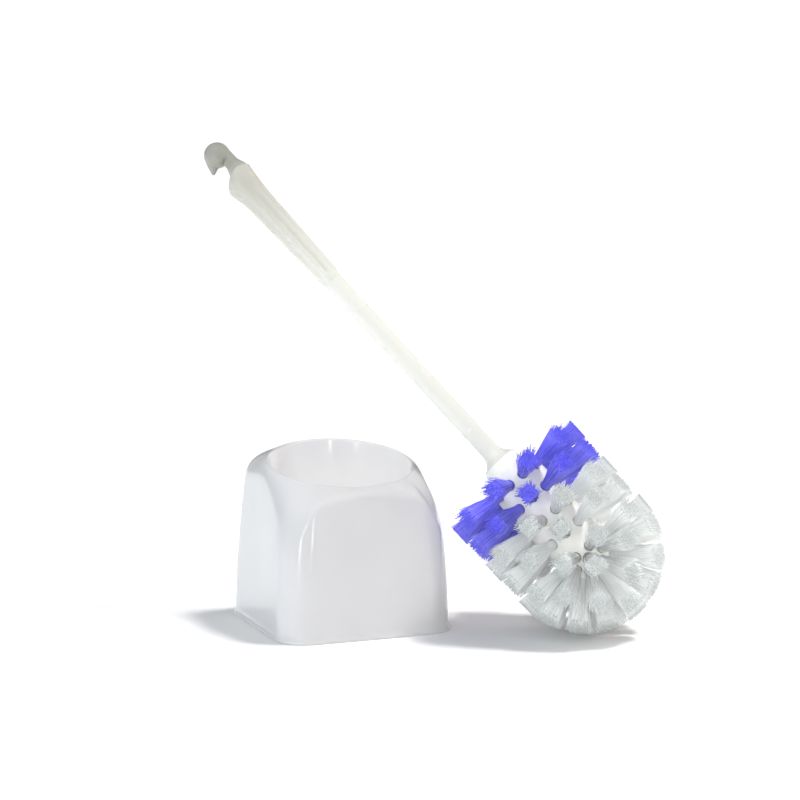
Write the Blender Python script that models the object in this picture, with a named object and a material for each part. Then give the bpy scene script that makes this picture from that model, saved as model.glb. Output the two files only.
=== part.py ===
"""Toilet brush holder with its brush standing beside it.

The holder is one moulded shell: a rounded square skirt, a sloping shoulder and a round cup.
The brush is a hook, a grip, a shaft, a moulded core and bristle tufts seated in the core.
Metres, +Z up, the origin at the centre of the holder's underside, the holder's front towards -Y.
"""
import math

import bmesh
import bpy
from mathutils import Matrix, Vector

# Holder, outside.
HALF_SIDE = 0.0536
CORNER_RADIUS = 0.0180
SIDE_TAPER = 0.0060
TAPER_POWER = 1.7
FOOT_LIP = 0.0012
FOOT_LIP_EDGE = 0.0018
FOOT_LIP_HEIGHT = 0.0060
WALL = 0.0022

# Holder, mouth. The mouth's plane tips down towards the front.
RIM_HEIGHT = 0.0962
RIM_TILT = math.radians(9.2)
MOUTH_RADIUS = 0.0425
LIP_RADIUS = 0.0011
SHOULDER_SLOPE = math.radians(25)
FRONT_CORNER_BLEND = 0.030
BACK_CORNER_BLEND = 0.010
SIDE_BLEND = 0.012
FRONT_BLEND = 0.003

# Holder, cup. Its outside meets the underside of the shoulder at the throat.
CUP_FLOOR = 0.0025
CUP_FLOOR_RADIUS = 0.0380
CUP_FLOOR_BLEND = 0.0060
CUP_FOOT_CHAMFER = 0.0020
THROAT_DEPTH = 0.0055
THROAT_CLEARANCE = 0.0002

# Brush. Heights run along its axis from the centre of the domed end, up towards the hook.
TIP_RADIUS = 0.0475
END_TIP_RADIUS = 0.0483
CORE_RADIUS = 0.0175
CORE_TOP = 0.0730
CORE_SHOULDER = 0.0665
CORE_CHAMFER = 0.0012
COLLAR_RADIUS = 0.0110
COLLAR_HEIGHT = 0.0100
COLLAR_RIM = 0.0005
COLLAR_POWER = 2.6
SHAFT_RADIUS = 0.0055
SPIGOT_RADIUS = 0.0035
SPIGOT_DEPTH = 0.0120
GAP = 0.0003

# Grip. Its chamfer and the start of its flare are shares of its length.
GRIP_BOTTOM = 0.2226
GRIP_TOP = 0.3106
GRIP_SHOULDER = 0.0042
GRIP_RADIUS = 0.0066
GRIP_SWELL = 0.0021
GRIP_CHAMFER = 0.07
GRIP_FLARE = 0.0015
FLARE_START = 0.76
GRIP_SLANT = 0.27
GRIP_TOP_ROUND = 0.0006

# Hook. The beak's places are measured from the hook's top.
HOOK_TOP = 0.3362
NECK_OFFSET = 0.0034
NECK_FOOT_RADIUS = 0.0060
NECK_SHOULDER_RADIUS = 0.0051
NECK_SHOULDER_HEIGHT = 0.0030
WAIST_RADIUS = 0.0044
WAIST_HEIGHT = 0.0068
KNOB_RADIUS = 0.0082
BEAK_ROOT_X = -0.0020
BEAK_ROOT_DROP = 0.0088
BEAK_ROOT_RADIUS = 0.0062
BEAK_TIP_X = -0.0103
BEAK_TIP_DROP = 0.0150
BEAK_TIP_RADIUS = 0.0009

# Bristle tufts.
TUFTS_PER_RING = 10
RING_PITCH = 0.0142
BLUE_RINGS = 2
CLEAR_RINGS = 3
SOCKET_RADIUS = 0.0030
SOCKET_DEPTH = 0.0040
TUFT_ROOT_RADIUS = 0.0017
TUFT_TIP_RADIUS = 0.0066
TUFT_SIDES = 8
LAST_RING_TILT = math.radians(3)
END_GROUPS = 5
END_GROUP_HALF_ANGLE = math.radians(33)
END_GROUP_POLE = math.radians(10)
END_GROUP_CONE = math.radians(76)
END_GROUP_CLEARANCE = 0.0008

# Rest pose of the brush, leaning with its bristles on the floor.
LEAN = math.radians(46.7)
HEADING = math.radians(-45)
ROLL = math.radians(22.9)
HEAD_X = 0.1217
HEAD_Y = -0.0824

HOLDER_SEGMENTS = 64
ROUND_SEGMENTS = 24


def clear_scene():
    for obj in list(bpy.data.objects):
        bpy.data.objects.remove(obj, do_unlink=True)


def plastic(name, colour, roughness):
    material = bpy.data.materials.new(name)
    material.use_nodes = True
    shader = material.node_tree.nodes["Principled BSDF"]
    shader.inputs["Base Color"].default_value = (*colour, 1.0)
    shader.inputs["Roughness"].default_value = roughness
    shader.inputs["Metallic"].default_value = 0.0
    return material


def object_from(bm, name, material):
    """Turn a bmesh into a named, smooth-shaded object."""
    bmesh.ops.recalc_face_normals(bm, faces=bm.faces)
    mesh = bpy.data.meshes.new(name)
    bm.to_mesh(mesh)
    bm.free()
    mesh.materials.append(material)
    mesh.shade_smooth()
    mesh.set_sharp_from_angle(angle=math.radians(35))
    obj = bpy.data.objects.new(name, mesh)
    bpy.context.collection.objects.link(obj)
    return obj


def bridge_rings(bm, rings):
    """Join successive closed rings of vertices with faces."""
    for lower, upper in zip(rings, rings[1:]):
        count = len(lower)
        for i in range(count):
            j = (i + 1) % count
            bm.faces.new((lower[i], lower[j], upper[j], upper[i]))


def cap_with_point(bm, ring, point):
    centre = bm.verts.new(point)
    count = len(ring)
    for i in range(count):
        bm.faces.new((ring[i], ring[(i + 1) % count], centre))


def arc(centre, radius, start, end, steps):
    """Points on an arc in the profile plane, both ends included."""
    points = []
    for i in range(steps + 1):
        angle = start + (end - start) * i / steps
        points.append((centre[0] + radius * math.cos(angle), centre[1] + radius * math.sin(angle)))
    return points


def turned(name, profile, material, segments=ROUND_SEGMENTS):
    """Solid of revolution about Z. The profile's (radius, height) points start and end on the axis."""
    bm = bmesh.new()
    rings = []
    for radius, height in profile[1:-1]:
        ring = []
        for i in range(segments):
            angle = 2 * math.pi * i / segments
            ring.append(bm.verts.new((radius * math.cos(angle), radius * math.sin(angle), height)))
        rings.append(ring)
    bridge_rings(bm, rings)
    cap_with_point(bm, rings[0], (0, 0, profile[0][1]))
    cap_with_point(bm, rings[-1], (0, 0, profile[-1][1]))
    return object_from(bm, name, material)


# ---------------------------------------------------------------- holder


def square_reach(angle, half, corner):
    """Distance from the axis to a rounded square, in one direction."""
    across, along = sorted((abs(math.cos(angle)), abs(math.sin(angle))))
    flat = half / along
    inner = half - corner
    if flat * across <= inner:
        return flat
    towards = inner * (across + along)
    return towards + math.sqrt(towards ** 2 - 2 * inner ** 2 + corner ** 2)


def half_side(height):
    return HALF_SIDE - SIDE_TAPER * (height / RIM_HEIGHT) ** TAPER_POWER


def side_point(angle, height, inset=0.0):
    reach = square_reach(angle, half_side(height) - inset, CORNER_RADIUS - inset)
    return (reach, height)


def rim_height(angle, radius):
    return RIM_HEIGHT + radius * math.sin(angle) * math.tan(RIM_TILT)


def shoulder_point(angle, radius):
    drop = (radius - MOUTH_RADIUS - LIP_RADIUS) * math.tan(SHOULDER_SLOPE)
    return (radius, rim_height(angle, radius) - drop)


def edge_blend(angle):
    """Size of the rounding between shoulder and side: crisp on the front, broad at the front corners."""
    at_corner = math.sin(2 * angle) ** 2
    at_front = max(0.0, -math.sin(angle)) ** 4
    towards_front = min(max(0.5 - math.sin(angle) / math.sqrt(2), 0.0), 1.0)
    flat_blend = SIDE_BLEND + (FRONT_BLEND - SIDE_BLEND) * at_front
    corner_blend = BACK_CORNER_BLEND + (FRONT_CORNER_BLEND - BACK_CORNER_BLEND) * towards_front
    return flat_blend + (corner_blend - flat_blend) * at_corner


def shoulder_edge(angle):
    """Where the shoulder would meet the side in a sharp edge, found by bisection on the height."""
    low, high = 0.0, RIM_HEIGHT * 1.1
    for _ in range(40):
        middle = (low + high) / 2
        radius, _ = side_point(angle, middle)
        if middle < shoulder_point(angle, radius)[1]:
            low = middle
        else:
            high = middle
    return side_point(angle, low)


def blend_point(angle, t, inset=0.0):
    """Point on the curve that rounds that edge, side at 0 and shoulder at 1, moved in by the inset."""
    edge_radius, edge_height = shoulder_edge(angle)
    size = edge_blend(angle)
    start = Vector(side_point(angle, edge_height - size))
    corner = Vector((edge_radius, edge_height))
    end_radius = max(edge_radius - size, MOUTH_RADIUS + 2 * LIP_RADIUS)
    end = Vector(shoulder_point(angle, end_radius))
    before = start.lerp(corner, t)
    after = corner.lerp(end, t)
    heading = (after - before).normalized()
    return before.lerp(after, t) + inset * Vector((-heading.y, heading.x))


def underside_profile(angle):
    """From the axis under the cup, up to the throat and down the skirt's inside to the foot."""
    floor_outside = CUP_FLOOR_RADIUS + WALL
    cup_outside = MOUTH_RADIUS + WALL
    throat = rim_height(angle, cup_outside) - THROAT_DEPTH
    under_shoulder = blend_point(angle, 0.5, WALL)
    roof = (max(under_shoulder.x, cup_outside + THROAT_CLEARANCE), min(under_shoulder.y, throat))
    points = [(0.0, 0.0), (floor_outside - CUP_FOOT_CHAMFER, 0.0), (floor_outside, CUP_FOOT_CHAMFER)]
    points += [(cup_outside, throat), roof, blend_point(angle, 0.0, WALL)]
    points += [side_point(angle, 0.5 * RIM_HEIGHT, WALL), side_point(angle, 0.0, WALL)]
    return points


def outside_profile(angle):
    """From the foot's lip up the skirt, over the shoulder to the rim's outer edge."""
    foot = side_point(angle, 0.0)[0] + FOOT_LIP
    points = [(foot, 0.0), (foot, FOOT_LIP_EDGE), side_point(angle, FOOT_LIP_HEIGHT)]
    points += [side_point(angle, 0.25 * RIM_HEIGHT), side_point(angle, 0.45 * RIM_HEIGHT)]
    points += [blend_point(angle, i / 6) for i in range(7)]
    return points


def cup_profile(angle):
    """Over the rounded lip, down the cup's wall and along its floor to the axis."""
    lip_radius = MOUTH_RADIUS + LIP_RADIUS
    lip_centre = (lip_radius, rim_height(angle, lip_radius) - LIP_RADIUS)
    floor_arc_centre = (CUP_FLOOR_RADIUS - CUP_FLOOR_BLEND, CUP_FLOOR + CUP_FLOOR_BLEND)
    points = arc(lip_centre, LIP_RADIUS, math.radians(60), math.radians(180), 4)
    points += arc(floor_arc_centre, CUP_FLOOR_BLEND, 0.0, math.radians(-90), 4)
    points.append((0.0, CUP_FLOOR))
    return points


def holder_profile(angle):
    return underside_profile(angle) + outside_profile(angle) + cup_profile(angle)


def make_holder(material):
    bm = bmesh.new()
    profiles = []
    for i in range(HOLDER_SEGMENTS):
        angle = 2 * math.pi * i / HOLDER_SEGMENTS
        profiles.append((angle, holder_profile(angle)))
    rings = []
    for k in range(1, len(profiles[0][1]) - 1):
        ring = []
        for angle, points in profiles:
            radius, height = points[k]
            ring.append(bm.verts.new((radius * math.cos(angle), radius * math.sin(angle), height)))
        rings.append(ring)
    bridge_rings(bm, rings)
    cap_with_point(bm, rings[0], (0, 0, 0))
    cap_with_point(bm, rings[-1], (0, 0, CUP_FLOOR))
    return object_from(bm, "holder_shell", material)


# ---------------------------------------------------------------- handle


def make_shaft(material):
    """Shaft with a spigot at each end and the trumpet-shaped collar above the core."""
    foot = CORE_TOP + GAP
    head = GRIP_BOTTOM - GAP
    profile = [(0, foot - SPIGOT_DEPTH), (SPIGOT_RADIUS, foot - SPIGOT_DEPTH), (SPIGOT_RADIUS, foot)]
    flare = 6
    for i in range(flare + 1):
        t = i / flare
        radius = SHAFT_RADIUS + (COLLAR_RADIUS - SHAFT_RADIUS) * (1 - t) ** COLLAR_POWER
        profile.append((radius, foot + COLLAR_RIM + COLLAR_HEIGHT * t))
    profile += [(SHAFT_RADIUS, head), (SPIGOT_RADIUS, head)]
    profile += [(SPIGOT_RADIUS, head + SPIGOT_DEPTH), (0, head + SPIGOT_DEPTH)]
    return turned("handle_shaft", profile, material)


def grip_radius(along):
    """Grip's half-width from its foot, 0, to its top, 1: chamfered foot, slow swelling, flared top."""
    body = GRIP_RADIUS + GRIP_SWELL * along
    chamfer = (SHAFT_RADIUS - body) * max(0.0, 1 - along / GRIP_CHAMFER)
    flare = GRIP_FLARE * max(0.0, (along - FLARE_START) / (1 - FLARE_START)) ** 2
    return body + chamfer + flare


def make_grip(material):
    """Grip with a flared, slanted top that closes in on the hook's seat, and a socket at each end."""
    bore = SPIGOT_RADIUS + GAP
    rim_height = GRIP_TOP - GRIP_SHOULDER
    bm = bmesh.new()
    rings = []

    def ring_at(radius, height, offset=0.0, slant=0.0):
        ring = []
        for i in range(ROUND_SEGMENTS):
            angle = 2 * math.pi * i / ROUND_SEGMENTS
            x = radius * math.cos(angle)
            ring.append(bm.verts.new((x + offset, radius * math.sin(angle), height + slant * x)))
        rings.append(ring)

    ring_at(bore, GRIP_BOTTOM + SPIGOT_DEPTH + GAP)
    ring_at(bore, GRIP_BOTTOM)
    for along in (0.0, GRIP_CHAMFER, 0.30, 0.55, FLARE_START, 0.85, 0.93, 1.0):
        height = GRIP_BOTTOM + along * (rim_height - GRIP_BOTTOM)
        ring_at(grip_radius(along), height, slant=GRIP_SLANT * along ** 8)
    ring_at(grip_radius(1.0) - GRIP_TOP_ROUND, rim_height + GRIP_TOP_ROUND, slant=GRIP_SLANT)
    ring_at(NECK_FOOT_RADIUS + GAP, GRIP_TOP, NECK_OFFSET)
    ring_at(bore, GRIP_TOP, NECK_OFFSET)
    ring_at(bore, GRIP_TOP - SPIGOT_DEPTH - GAP, NECK_OFFSET)
    bridge_rings(bm, rings)
    cap_with_point(bm, rings[0], (0, 0, GRIP_BOTTOM + SPIGOT_DEPTH + GAP))
    cap_with_point(bm, rings[-1], (NECK_OFFSET, 0, GRIP_TOP - SPIGOT_DEPTH - GAP))
    return object_from(bm, "handle_grip", material)


def union(target, tools):
    """Join closed solids into the target and delete them."""
    for tool in tools:
        modifier = target.modifiers.new("join", "BOOLEAN")
        modifier.operation = "UNION"
        modifier.object = tool
    depsgraph = bpy.context.evaluated_depsgraph_get()
    joined = bpy.data.meshes.new_from_object(target.evaluated_get(depsgraph))
    target.modifiers.clear()
    target.data = joined
    for tool in tools:
        bpy.data.objects.remove(tool, do_unlink=True)
    joined.shade_smooth()
    joined.set_sharp_from_angle(angle=math.radians(35))


def make_neck(material):
    """The hook's peg and waisted neck, running up to the middle of the knob."""
    foot = GRIP_TOP + GAP
    neck_top = HOOK_TOP - KNOB_RADIUS
    profile = [(0, foot - SPIGOT_DEPTH), (SPIGOT_RADIUS, foot - SPIGOT_DEPTH), (SPIGOT_RADIUS, foot)]
    profile += [(NECK_FOOT_RADIUS, foot), (NECK_SHOULDER_RADIUS, foot + NECK_SHOULDER_HEIGHT)]
    profile += [(WAIST_RADIUS, foot + WAIST_HEIGHT), (WAIST_RADIUS, neck_top), (0, neck_top)]
    neck = turned("hanging_hook", profile, material, 16)
    neck.location = (NECK_OFFSET, 0, 0)
    return neck


def make_beak(material):
    root = Vector((BEAK_ROOT_X, 0, HOOK_TOP - BEAK_ROOT_DROP))
    tip = Vector((BEAK_TIP_X, 0, HOOK_TOP - BEAK_TIP_DROP))
    reach = tip - root
    bm = bmesh.new()
    bmesh.ops.create_cone(
        bm, cap_ends=True, segments=12,
        radius1=BEAK_ROOT_RADIUS, radius2=BEAK_TIP_RADIUS, depth=reach.length,
    )
    beak = object_from(bm, "beak", material)
    beak.location = (root + tip) / 2
    beak.rotation_euler = reach.to_track_quat("Z", "Y").to_euler()
    return beak


def make_hook(material):
    """Bird's-head hook: a peg, a waisted neck, a round knob and a beak that points down on the -X side."""
    hook = make_neck(material)
    bm = bmesh.new()
    bmesh.ops.create_uvsphere(bm, u_segments=16, v_segments=10, radius=KNOB_RADIUS)
    knob = object_from(bm, "knob", material)
    knob.location = (0, 0, HOOK_TOP - KNOB_RADIUS)
    beak = make_beak(material)
    bpy.context.view_layer.update()
    union(hook, [knob, beak])
    return hook


# ---------------------------------------------------------------- head


def tuft_directions():
    """(root height, azimuth, tilt below the level) of each tuft on the core's straight part."""
    places = []
    rings = BLUE_RINGS + CLEAR_RINGS
    for ring in range(rings):
        height = RING_PITCH * (rings - 1 - ring)
        tilt = LAST_RING_TILT if ring == rings - 1 else 0.0
        for k in range(TUFTS_PER_RING):
            half_step = 0.5 if ring % 2 == 0 else 0.0
            azimuth = 2 * math.pi * (k + half_step) / TUFTS_PER_RING - math.pi / 2
            places.append((height, azimuth, tilt))
    return places


def polar_point(radius, polar, azimuth):
    """Point on a sphere about the domed end's centre; the polar angle is 0 straight down the brush."""
    flat = radius * math.sin(polar)
    return (flat * math.cos(azimuth), flat * math.sin(azimuth), -radius * math.cos(polar))


def tuft_frame(height, azimuth, tilt, distance):
    """Frame at a distance out along a tuft, its Z pointing along the tuft."""
    outward = Vector(polar_point(1.0, math.pi / 2 - tilt, azimuth))
    turn = outward.to_track_quat("Z", "Y").to_matrix().to_4x4()
    return Matrix.Translation(Vector((0, 0, height)) + outward * distance) @ turn


def make_core(material):
    """Moulded core with a domed end, a socket for each tuft and a bore for the shaft."""
    bore = SPIGOT_RADIUS + GAP
    profile = [(0, CORE_TOP - SPIGOT_DEPTH - GAP), (bore, CORE_TOP - SPIGOT_DEPTH - GAP), (bore, CORE_TOP)]
    profile += [(COLLAR_RADIUS, CORE_TOP), (CORE_RADIUS - CORE_CHAMFER, CORE_SHOULDER + 0.5 * CORE_CHAMFER)]
    profile += [(CORE_RADIUS, CORE_SHOULDER - CORE_CHAMFER)]
    profile += arc((0, 0), CORE_RADIUS, 0.0, math.radians(-78.75), 7)
    profile.append((0, -CORE_RADIUS))
    core = turned("brush_core", profile, material, 40)
    cutter_bm = bmesh.new()
    for height, azimuth, tilt in tuft_directions():
        bmesh.ops.create_cone(
            cutter_bm, cap_ends=True, segments=6,
            radius1=SOCKET_RADIUS, radius2=SOCKET_RADIUS, depth=2 * SOCKET_DEPTH,
            matrix=tuft_frame(height, azimuth, tilt, CORE_RADIUS),
        )
    cutter = object_from(cutter_bm, "socket_cutter", material)
    cutter.hide_render = True
    cutter.display_type = "WIRE"
    sockets = core.modifiers.new("sockets", "BOOLEAN")
    sockets.operation = "DIFFERENCE"
    sockets.object = cutter
    return core, cutter


def make_tuft(name, place, material):
    """One bundle of bristles: a thin root in its socket that spreads to a wide cut end."""
    height, azimuth, tilt = place
    bm = bmesh.new()
    rings = []
    root = CORE_RADIUS - SOCKET_DEPTH + GAP
    for distance, radius in ((root, TUFT_ROOT_RADIUS), (TIP_RADIUS, TUFT_TIP_RADIUS)):
        frame = tuft_frame(height, azimuth, tilt, distance)
        ring = []
        for i in range(TUFT_SIDES):
            angle = 2 * math.pi * i / TUFT_SIDES
            across = Vector((radius * math.cos(angle), radius * math.sin(angle), 0))
            ring.append(bm.verts.new(frame @ across))
        rings.append(ring)
    bridge_rings(bm, rings)
    bm.faces.new(rings[0])
    bm.faces.new(rings[1])
    return object_from(bm, name, material)


def make_end_group(name, middle, material):
    """The tufts of one sector of the domed end, as a solid wedge between core and bristle tips."""
    steps = 5
    bm = bmesh.new()
    grids = []
    for radius in (CORE_RADIUS + END_GROUP_CLEARANCE, END_TIP_RADIUS):
        grid = []
        for a in range(steps + 1):
            azimuth = middle + END_GROUP_HALF_ANGLE * (2 * a / steps - 1)
            row = []
            for p in range(steps + 1):
                polar = END_GROUP_POLE + (END_GROUP_CONE - END_GROUP_POLE) * p / steps
                row.append(bm.verts.new(polar_point(radius, polar, azimuth)))
            grid.append(row)
        grids.append(grid)
    for grid in grids:
        for a in range(steps):
            for p in range(steps):
                bm.faces.new((grid[a][p], grid[a + 1][p], grid[a + 1][p + 1], grid[a][p + 1]))
    low, high = grids
    for i in range(steps):
        bm.faces.new((low[0][i], low[0][i + 1], high[0][i + 1], high[0][i]))
        bm.faces.new((low[-1][i], low[-1][i + 1], high[-1][i + 1], high[-1][i]))
        bm.faces.new((low[i][0], low[i + 1][0], high[i + 1][0], high[i][0]))
        bm.faces.new((low[i][-1], low[i + 1][-1], high[i + 1][-1], high[i][-1]))
    return object_from(bm, name, material)


def make_brush(cream, white, blue, clear):
    pieces = [make_shaft(cream), make_grip(cream), make_hook(cream)]
    core, cutter = make_core(white)
    pieces += [core, cutter]
    places = tuft_directions()
    blue_count = BLUE_RINGS * TUFTS_PER_RING
    for number, place in enumerate(places[:blue_count], start=1):
        pieces.append(make_tuft(f"blue_tuft_{number:02d}", place, blue))
    for number, place in enumerate(places[blue_count:], start=1):
        pieces.append(make_tuft(f"clear_tuft_{number:02d}", place, clear))
    for group in range(END_GROUPS):
        middle = 2 * math.pi * group / END_GROUPS - math.pi / 2
        pieces.append(make_end_group(f"end_tufts_{group + 1}", middle, clear))
    return pieces


def stand_brush(pieces):
    """Lean the brush and set its lowest bristle tip on the floor."""
    frame = bpy.data.objects.new("brush_frame", None)
    bpy.context.collection.objects.link(frame)
    turn = Matrix.Rotation(HEADING, 4, "Z") @ Matrix.Rotation(-LEAN, 4, "Y") @ Matrix.Rotation(ROLL, 4, "Z")
    lowest = min((turn @ v.co).z for piece in pieces if not piece.hide_render for v in piece.data.vertices)
    frame.matrix_world = Matrix.Translation((HEAD_X, HEAD_Y, -lowest)) @ turn
    for piece in pieces:
        piece.parent = frame


def build():
    clear_scene()
    white = plastic("white_gloss_plastic", (0.86, 0.86, 0.87), 0.18)
    cream = plastic("cream_plastic", (0.80, 0.79, 0.72), 0.30)
    bright = plastic("core_plastic", (0.92, 0.92, 0.90), 0.35)
    blue = plastic("blue_bristle", (0.09, 0.08, 0.72), 0.45)
    clear = plastic("clear_bristle", (0.74, 0.78, 0.77), 0.30)
    make_holder(white)
    stand_brush(make_brush(cream, bright, blue, clear))


build()
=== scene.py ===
"""Looks of a toilet brush holder and its brush: fine meshes, procedural plastics, floor, light, camera.

The brush's pieces are made in the brush's own frame: its origin is the centre of the domed end, +Z runs up
the handle to the hook, and the hook's beak is on -X. BRUSH_FRAME stands them beside the holder.
"""

import math

import bpy
import numpy as np
from mathutils import Matrix, Vector


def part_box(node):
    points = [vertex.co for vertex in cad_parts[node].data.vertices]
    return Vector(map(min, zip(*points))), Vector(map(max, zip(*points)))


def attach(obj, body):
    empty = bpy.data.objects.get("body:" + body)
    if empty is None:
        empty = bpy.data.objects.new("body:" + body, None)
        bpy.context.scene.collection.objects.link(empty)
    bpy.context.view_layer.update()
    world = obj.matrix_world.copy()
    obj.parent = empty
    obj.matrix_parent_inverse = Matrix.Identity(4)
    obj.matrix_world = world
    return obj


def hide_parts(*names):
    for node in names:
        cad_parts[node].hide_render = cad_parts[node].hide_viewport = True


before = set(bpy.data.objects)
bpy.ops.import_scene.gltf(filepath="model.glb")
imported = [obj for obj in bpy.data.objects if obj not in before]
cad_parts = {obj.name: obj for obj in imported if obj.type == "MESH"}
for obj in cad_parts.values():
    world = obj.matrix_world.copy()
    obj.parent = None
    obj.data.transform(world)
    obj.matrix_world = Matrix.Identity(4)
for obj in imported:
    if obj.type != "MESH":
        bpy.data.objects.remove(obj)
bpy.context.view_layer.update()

# Holder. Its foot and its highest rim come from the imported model.
FOOT_LIP = 0.0012
MOUTH_RADIUS = 0.0425
LIP_RADIUS = 0.0011
RIM_TILT = math.radians(9.2)
HOLDER_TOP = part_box("holder_shell")[1]
HALF_SIDE = HOLDER_TOP.x - FOOT_LIP
RIM_HEIGHT = HOLDER_TOP.z - (MOUTH_RADIUS + LIP_RADIUS) * math.tan(RIM_TILT)
CORNER_RADIUS = 0.0180
SIDE_TAPER = 0.0060
TAPER_POWER = 1.7
FOOT_LIP_EDGE = 0.0014
FOOT_LIP_HEIGHT = 0.0060
FOOT_BEVEL = 0.0003
WALL = 0.0022
SHOULDER_SLOPE = math.radians(25)
# Rounding between shoulder and side, as (degrees from the front, size).
EDGE_BLENDS = ((0, 0.0025), (31, 0.0035), (50, 0.030), (90, 0.012), (135, 0.010), (180, 0.012))
CUP_FLOOR = 0.0025
CUP_FLOOR_RADIUS = 0.0380
CUP_FLOOR_BLEND = 0.0060
CUP_FOOT_BEVEL = 0.0020
LIP_ARC = (62, 180)
THROAT_DEPTH = 0.0055
THROAT_CLEARANCE = 0.0002
HOLDER_SEGMENTS = 288

# Handle. Heights run along the brush from the centre of its domed end.
CORE_RADIUS = 0.0175
CORE_TOP = 0.0730
CORE_SHOULDER = 0.0665
CORE_EDGE_RADIUS = 0.0022
CORE_EDGE_DROP = 0.0015
COLLAR_RADIUS = 0.0110
COLLAR_HEIGHT = 0.0100
COLLAR_POWER = 2.6
COLLAR_RIM = 0.0003
SHAFT_RADIUS = 0.0055
SPIGOT_RADIUS = 0.0035
SPIGOT_DEPTH = 0.0120
GRIP_BOTTOM = 0.2226
GRIP_TOP = 0.3106
GRIP_SHOULDER = 0.0042
GRIP_RADIUS = 0.0066
GRIP_SWELL = 0.0021
GRIP_CHAMFER = 0.07
GRIP_FLARE = 0.0015
FLARE_START = 0.76
GRIP_SLANT = 0.27
FLUTES = 7
FLUTE_DEPTH = 0.0013
FLUTE_START = 0.035
FLUTE_RUN_IN = 0.045
FLUTE_END = 0.97
FLUTE_RUN_OUT = 0.25
NECK_OFFSET = 0.0034
NECK_FOOT_RADIUS = 0.0062
NECK_RIM = 0.0012
NECK_SADDLE = 0.0026
WAIST_RADIUS = 0.0043
WAIST_HEIGHT = 0.0085
HOOK_TOP = 0.3362
KNOB_RADIUS = 0.0080
BEAK_ROOT = Vector((-0.0036, 0, HOOK_TOP - 0.0087))
BEAK_ROOT_RADIUS = 0.0050
BEAK_TIP = Vector((-0.0090, 0, HOOK_TOP - 0.0146))
BEAK_TIP_RADIUS = 0.0013
HOOK_VOXEL = 0.00030
GAP = 0.0003
SEAM = 0.00005

# Bristles.
TIP_RADIUS = 0.0475
END_TIP_RADIUS = 0.0483
TUFTS_PER_RING = 10
RING_PITCH = 0.0142
BLUE_RINGS = 2
CLEAR_RINGS = 3
LAST_RING_TILT = math.radians(3)
END_RINGS = ((10, 70.0, 0.0), (8, 47.0, 0.5), (5, 25.0, 0.0), (1, 0.0, 0.0))
END_GROUPS = 5
SOCKET_RADIUS = 0.0029
SOCKET_DEPTH = 0.0040
COUNTERSINK = 0.0012
TUFT_START = CORE_RADIUS - SOCKET_DEPTH + 0.0006
ROOT_RADIUS = 0.0026
TIP_HALF_WIDTH = 0.0067
END_TIP_HALF_WIDTH = 0.0072
TIP_SQUARENESS = 0.7
OPENING_START = 0.08
FAN_SPREAD = (0.94, 1.03)
FAN_SHIFT = 0.0004
STRANDS = 150
STRAND_RADIUS = 0.00021
STRAND_STEPS = 11
STRAND_SIDES = 3
PACKED_SHARE = 0.80
PACKED_END = 0.89
PACKED_OVERLAP = 0.12
PACKED_RIDGES = 30
PACKED_STEPS = 10
RIDGE_DEPTH = 0.10
RIDGE_JITTER = 0.02
CRINKLE = 0.00014
CRINKLE_WAVES = (1.6, 3.0)
CRINKLE_START = 0.1
CRINKLE_RUN_IN = 0.5
BLUE_WILD = 0.0007
CLEAR_WILD = 0.0003
RAGGED = 0.00022
SHORT_SHARE = 0.05
SHORT_BY = 0.0015
GOLDEN_ANGLE = math.radians(137.508)

# Rest pose of the brush, leaning with its bristles on the floor.
HEAD = Vector((0.1217, -0.0824, 0.048223))
LEAN = math.radians(46.7)
HEADING = math.radians(-45)
ROLL = math.radians(22.9)
LEANED = Matrix.Rotation(HEADING, 4, "Z") @ Matrix.Rotation(-LEAN, 4, "Y")
BRUSH_TURN = LEANED @ Matrix.Rotation(ROLL, 4, "Z")
BRUSH_FRAME = Matrix.Translation(HEAD) @ BRUSH_TURN

# Edges that turn by more than this many degrees look sharp.
SHARP_ANGLE = 35.0

# Tones of the handle at heights along the brush: painted shade that darkens it along the grip towards its
# top and again at the hook's foot.
PALE = (0.69, 0.69, 0.64)
PAINTED_SHADE_TONE = (0.475, 0.465, 0.415)
PAINTED_DEEP_SHADE_TONE = (0.30, 0.30, 0.265)
GRIP_SHADE_HEIGHTS = (0.215, 0.300)
HOOK_SHADE_HEIGHTS = (0.305, 0.318)

# Camera.
CAMERA_AIM = Vector((0.0407, 0.0071, 0.1303))
CAMERA_DISTANCE = 2.0
CAMERA_AZIMUTH = math.radians(-21.2)
CAMERA_ELEVATION = math.radians(9.3)
CAMERA_LENS = 150.1
TOWARDS_CAMERA = Vector((math.sin(CAMERA_AZIMUTH), -math.cos(CAMERA_AZIMUTH), 0))
PICTURE_RIGHT = Vector((math.cos(CAMERA_AZIMUTH), math.sin(CAMERA_AZIMUTH), 0))

# Surround.
BRIGHT_SIDE = (-0.93, -0.33, 0.15)
DIM_SURROUND = 0.18
BRIGHT_SURROUND = 0.92
WARM_WHITE = (1.0, 0.985, 0.97)
COOL_WHITE = (0.90, 0.955, 1.0)


# ---------------------------------------------------------------- meshes


def mesh_object(name, verts, faces, material, sharp=SHARP_ANGLE):
    """An object of one material, smooth except along edges that turn by more than the sharp angle."""
    mesh = bpy.data.meshes.new(name)
    mesh.from_pydata(verts, [], faces)
    mesh.materials.append(material)
    mesh.shade_smooth()
    mesh.set_sharp_from_angle(angle=math.radians(sharp))
    obj = bpy.data.objects.new(name, mesh)
    bpy.context.scene.collection.objects.link(obj)
    return obj


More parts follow.
